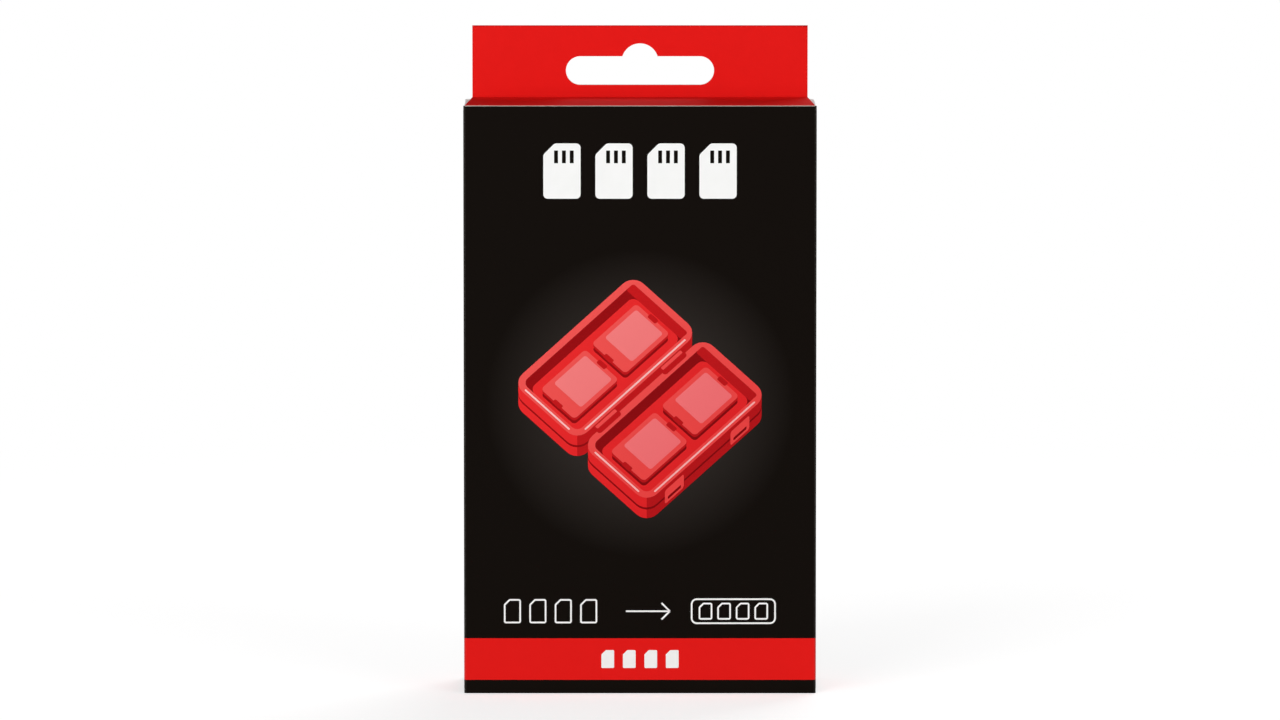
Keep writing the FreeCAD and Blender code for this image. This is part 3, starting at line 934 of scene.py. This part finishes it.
# %% Hinge, latches and the print of the picture
HINGE_PLACES = (-9.0, 9.0)
HINGE_LEVEL = 12
BARREL = {"width": 6.2, "height": 2.0, "corner": 0.6}
BARREL_GLEAM = {"width": 5.4, "height": 0.7, "corner": 0.2}
BARREL_DROP, STRIPE_DROP, STRIPE_SETBACK = 0.5, 0.3, 0.3
LATCH = {"width": 5.2, "height": 2.8, "corner": 0.5}
LATCH_GRIP = {"width": 3.6, "height": 0.6, "corner": 0.2}
LATCH_RISE, GRIP_RISE = 2.0, 1.4

near_wall = TRAY_WIDTH + HINGE_GAP / 2
for u in HINGE_PLACES:
    stripe_place = lying(u, -STRIPE_SETBACK, WALL - STRIPE_DROP)
    draw("deep", HINGE_LEVEL, card_shape(**BARREL), lying(u, 0, WALL - BARREL_DROP))
    draw("light", HINGE_LEVEL + 1, card_shape(**BARREL_GLEAM), stripe_place)
    draw("light", HINGE_LEVEL, card_shape(**LATCH), plane(ALONG, UP, u, near_wall, LATCH_RISE))
    draw("shade", HINGE_LEVEL + 1, card_shape(**LATCH_GRIP), plane(ALONG, UP, u, near_wall, GRIP_RISE))
for red, shapes in drawn.items():
    print_shapes(f"case_picture_{red}", REDS[red], shapes)

# %% [markdown]
# The studio floor is pale paper that runs out to an even white. A bright lamp could bleach the
# background, but it would bleach the carton too. So the paper keeps the carton's shadow near by, and
# further off it turns into plain white for the rays that show the background itself.

# %% Paper of the floor
PAPER = "#dcdcdc"
FLOOR_LIFT = 0.6
SHADOW_FULL_TO, SHADOW_GONE_AT = 0.12, 0.45


def seen_directly(tree):
    """1 for rays that show the background itself: straight from the camera, mirrored or let through."""
    path = add_node(tree, "ShaderNodeLightPath")
    rays = {0: path.outputs["Is Camera Ray"], 1: path.outputs["Is Glossy Ray"]}
    mirrored = add_node(tree, "ShaderNodeMath", rays, operation="ADD", use_clamp=True)
    rays = {0: mirrored, 1: path.outputs["Is Transmission Ray"]}
    return add_node(tree, "ShaderNodeMath", rays, operation="ADD", use_clamp=True)


def studio_paper(name):
    """Paper that is lifted a little near the carton and plain white further off."""
    material, tree, place = new_material(name)
    direct = seen_directly(tree)
    lift = add_node(tree, "ShaderNodeMath", {0: direct, 1: FLOOR_LIFT}, operation="MULTIPLY")
    sheet = add_node(tree, "ShaderNodeBsdfDiffuse", {"Color": linear(PAPER)})
    glow = add_node(tree, "ShaderNodeEmission", {"Strength": lift})
    near = add_node(tree, "ShaderNodeAddShader", {0: sheet, 1: glow})
    reach = add_node(tree, "ShaderNodeVectorMath", {0: place}, operation="LENGTH")
    limits = {"Value": reach, "From Min": SHADOW_FULL_TO, "From Max": SHADOW_GONE_AT}
    far = add_node(tree, "ShaderNodeMapRange", limits, interpolation_type="SMOOTHSTEP")
    amount = add_node(tree, "ShaderNodeMath", {0: far, 1: direct}, operation="MULTIPLY")
    white = add_node(tree, "ShaderNodeEmission", {"Strength": 1.0})
    both = add_node(tree, "ShaderNodeMixShader", {0: amount, 1: near, 2: white})
    add_node(tree, "ShaderNodeOutputMaterial", {"Surface": both})
    return material


paper = studio_paper("pale_studio_paper")
print(f"paper white from {SHADOW_GONE_AT} m off")

# %% [markdown]
# The floor itself is one wide square. It could lie level with the carton's base, but two faces in one
# plane flicker, so it lies a hair lower.

# %% Floor
FLOOR_SIZE = 12.0
FLOOR_SINK = 0.02

floor_bm = bmesh.new()
bmesh.ops.create_grid(floor_bm, x_segments=1, y_segments=1, size=FLOOR_SIZE / 2)
bmesh.ops.translate(floor_bm, vec=(0, 0, -FLOOR_SINK * MM), verts=floor_bm.verts)
floor = mesh_object(floor_bm, "floor", [paper])
print(f"floor {FLOOR_SIZE:.0f} m wide")

# %% [markdown]
# A dim even sky fills the shadows from all sides. With one strength for everything, a white background
# would mean a white light as well, and that would wash the carton out. So the sky is plain white only
# for the rays that show the background itself, and dim for those that light the carton.

# %% Sky
AMBIENT = 0.26

world = bpy.data.worlds.new("studio")
world.use_nodes = True
sky_tree = world.node_tree
sky_tree.nodes.clear()
levels = {"Value": seen_directly(sky_tree), "To Min": AMBIENT, "To Max": 1.0}
strength = add_node(sky_tree, "ShaderNodeMapRange", levels)
sky = add_node(sky_tree, "ShaderNodeBackground", {"Strength": strength})
add_node(sky_tree, "ShaderNodeOutputWorld", {"Surface": sky})
bpy.context.scene.world = world
print(f"sky lights at {AMBIENT} of white")

# %% [markdown]
# The lamps are a plain studio set: a large soft one in front to the left, a weaker one to the right
# and one behind for the edges. The two in front hang low, because light from above would brighten the
# lid, which lies in the shade. Their strength is such that a colour renders about as it is written.

# %% Lamps
LAMP_SIZE = 0.8


def hang_lamp(name, azimuth, elevation, distance, watts):
    """A square soft lamp that faces the middle of the carton."""
    data = bpy.data.lights.new(name, "AREA")
    data.size = LAMP_SIZE
    data.energy = watts
    lamp = add_object(name, data)
    stand_off(lamp, Vector((0, 0, HEADER_TOP / 2 * MM)), azimuth, elevation, distance)
    lamp.visible_camera = False


hang_lamp("key", azimuth=-30, elevation=9, distance=1.3, watts=12.2)
hang_lamp("fill", azimuth=38, elevation=7, distance=1.4, watts=7.2)
hang_lamp("rim", azimuth=160, elevation=30, distance=1.3, watts=7.5)
bpy.context.scene.view_settings.view_transform = "Standard"
print("lamps:", [light.name for light in bpy.data.lights])
